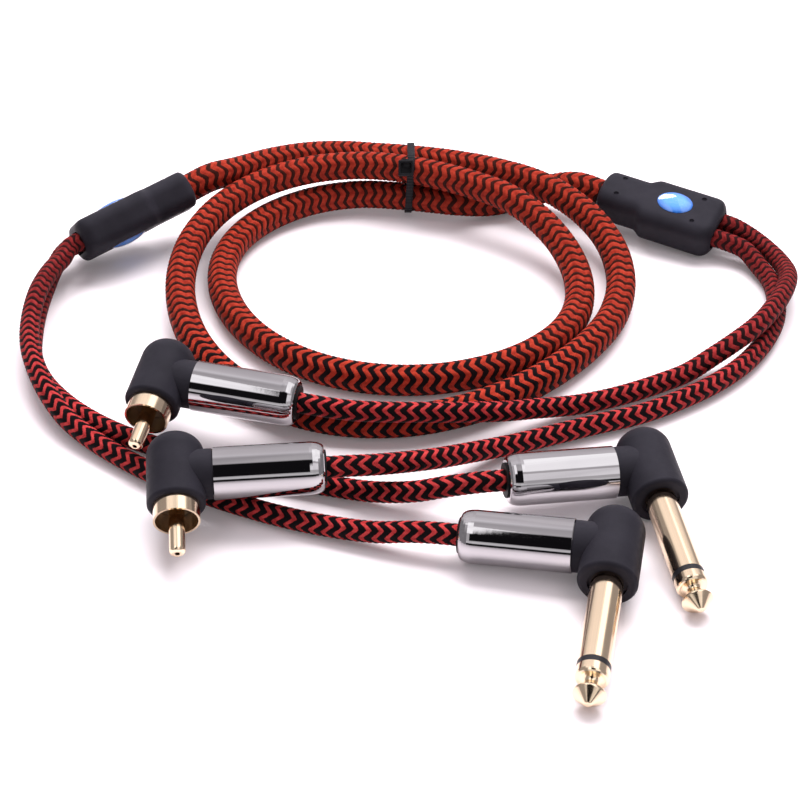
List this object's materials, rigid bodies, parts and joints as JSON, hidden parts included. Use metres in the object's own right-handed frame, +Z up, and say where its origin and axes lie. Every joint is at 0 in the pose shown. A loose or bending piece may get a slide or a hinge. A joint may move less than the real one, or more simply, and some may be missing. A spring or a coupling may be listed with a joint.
{
  "type": "instrument cable",
  "caption": "Braided twin instrument cable in a tied ring, with a Y splitter and two thin leads at each end: right-angle phono plugs on one side, right-angle 6.35 mm jacks on the other.",
  "frame": {"origin": "on the surface the cable lies on, at the middle of the part's box seen from above", "axes": "+Y from the jacks to the tied back of the ring, +X from the phono side to the jack side, +Z up"},
  "size_m": [0.1789, 0.1909, 0.019],
  "materials": {
    "main_braid": "orange-red and black braided sleeve",
    "lead_braid": "red and black braided sleeve",
    "body_plastic": "matte charcoal moulding",
    "barrel_chrome": "polished chrome",
    "bush_rubber": "matte black",
    "contact_gold": "pale gold plating, polished",
    "ring_insulator": "dark brown",
    "jack_insulator": "black",
    "badge_blue": "clear-domed blue",
    "tie_black": "black nylon"
  },
  "bodies": {
    "root": {"main_cable_coil": "main_braid", "left_main_cable": "main_braid", "right_main_cable": "main_braid", "cable_tie": "tie_black", "left_splitter_housing": "body_plastic", "left_splitter_top_badge": "badge_blue", "left_splitter_bottom_badge": "badge_blue", "right_splitter_housing": "body_plastic", "right_splitter_top_badge": "badge_blue", "right_splitter_bottom_badge": "badge_blue", "rear_phono_lead": "lead_braid", "front_phono_lead": "lead_braid", "rear_jack_lead": "lead_braid", "front_jack_lead": "lead_braid", "rear_phono_elbow": "body_plastic", "rear_phono_barrel": "barrel_chrome", "rear_phono_bush": "bush_rubber", "rear_phono_ring": "contact_gold", "rear_phono_insulator": "ring_insulator", "rear_phono_pin": "contact_gold", "front_phono_elbow": "body_plastic", "front_phono_barrel": "barrel_chrome", "front_phono_bush": "bush_rubber", "front_phono_ring": "contact_gold", "front_phono_insulator": "ring_insulator", "front_phono_pin": "contact_gold", "rear_jack_elbow": "body_plastic", "rear_jack_barrel": "barrel_chrome", "rear_jack_bush": "bush_rubber", "rear_jack_sleeve": "contact_gold", "rear_jack_insulator": "jack_insulator", "rear_jack_tip": "contact_gold", "front_jack_elbow": "body_plastic", "front_jack_barrel": "barrel_chrome", "front_jack_bush": "bush_rubber", "front_jack_sleeve": "contact_gold", "front_jack_insulator": "jack_insulator", "front_jack_tip": "contact_gold"}
  },
  "joints": []
}
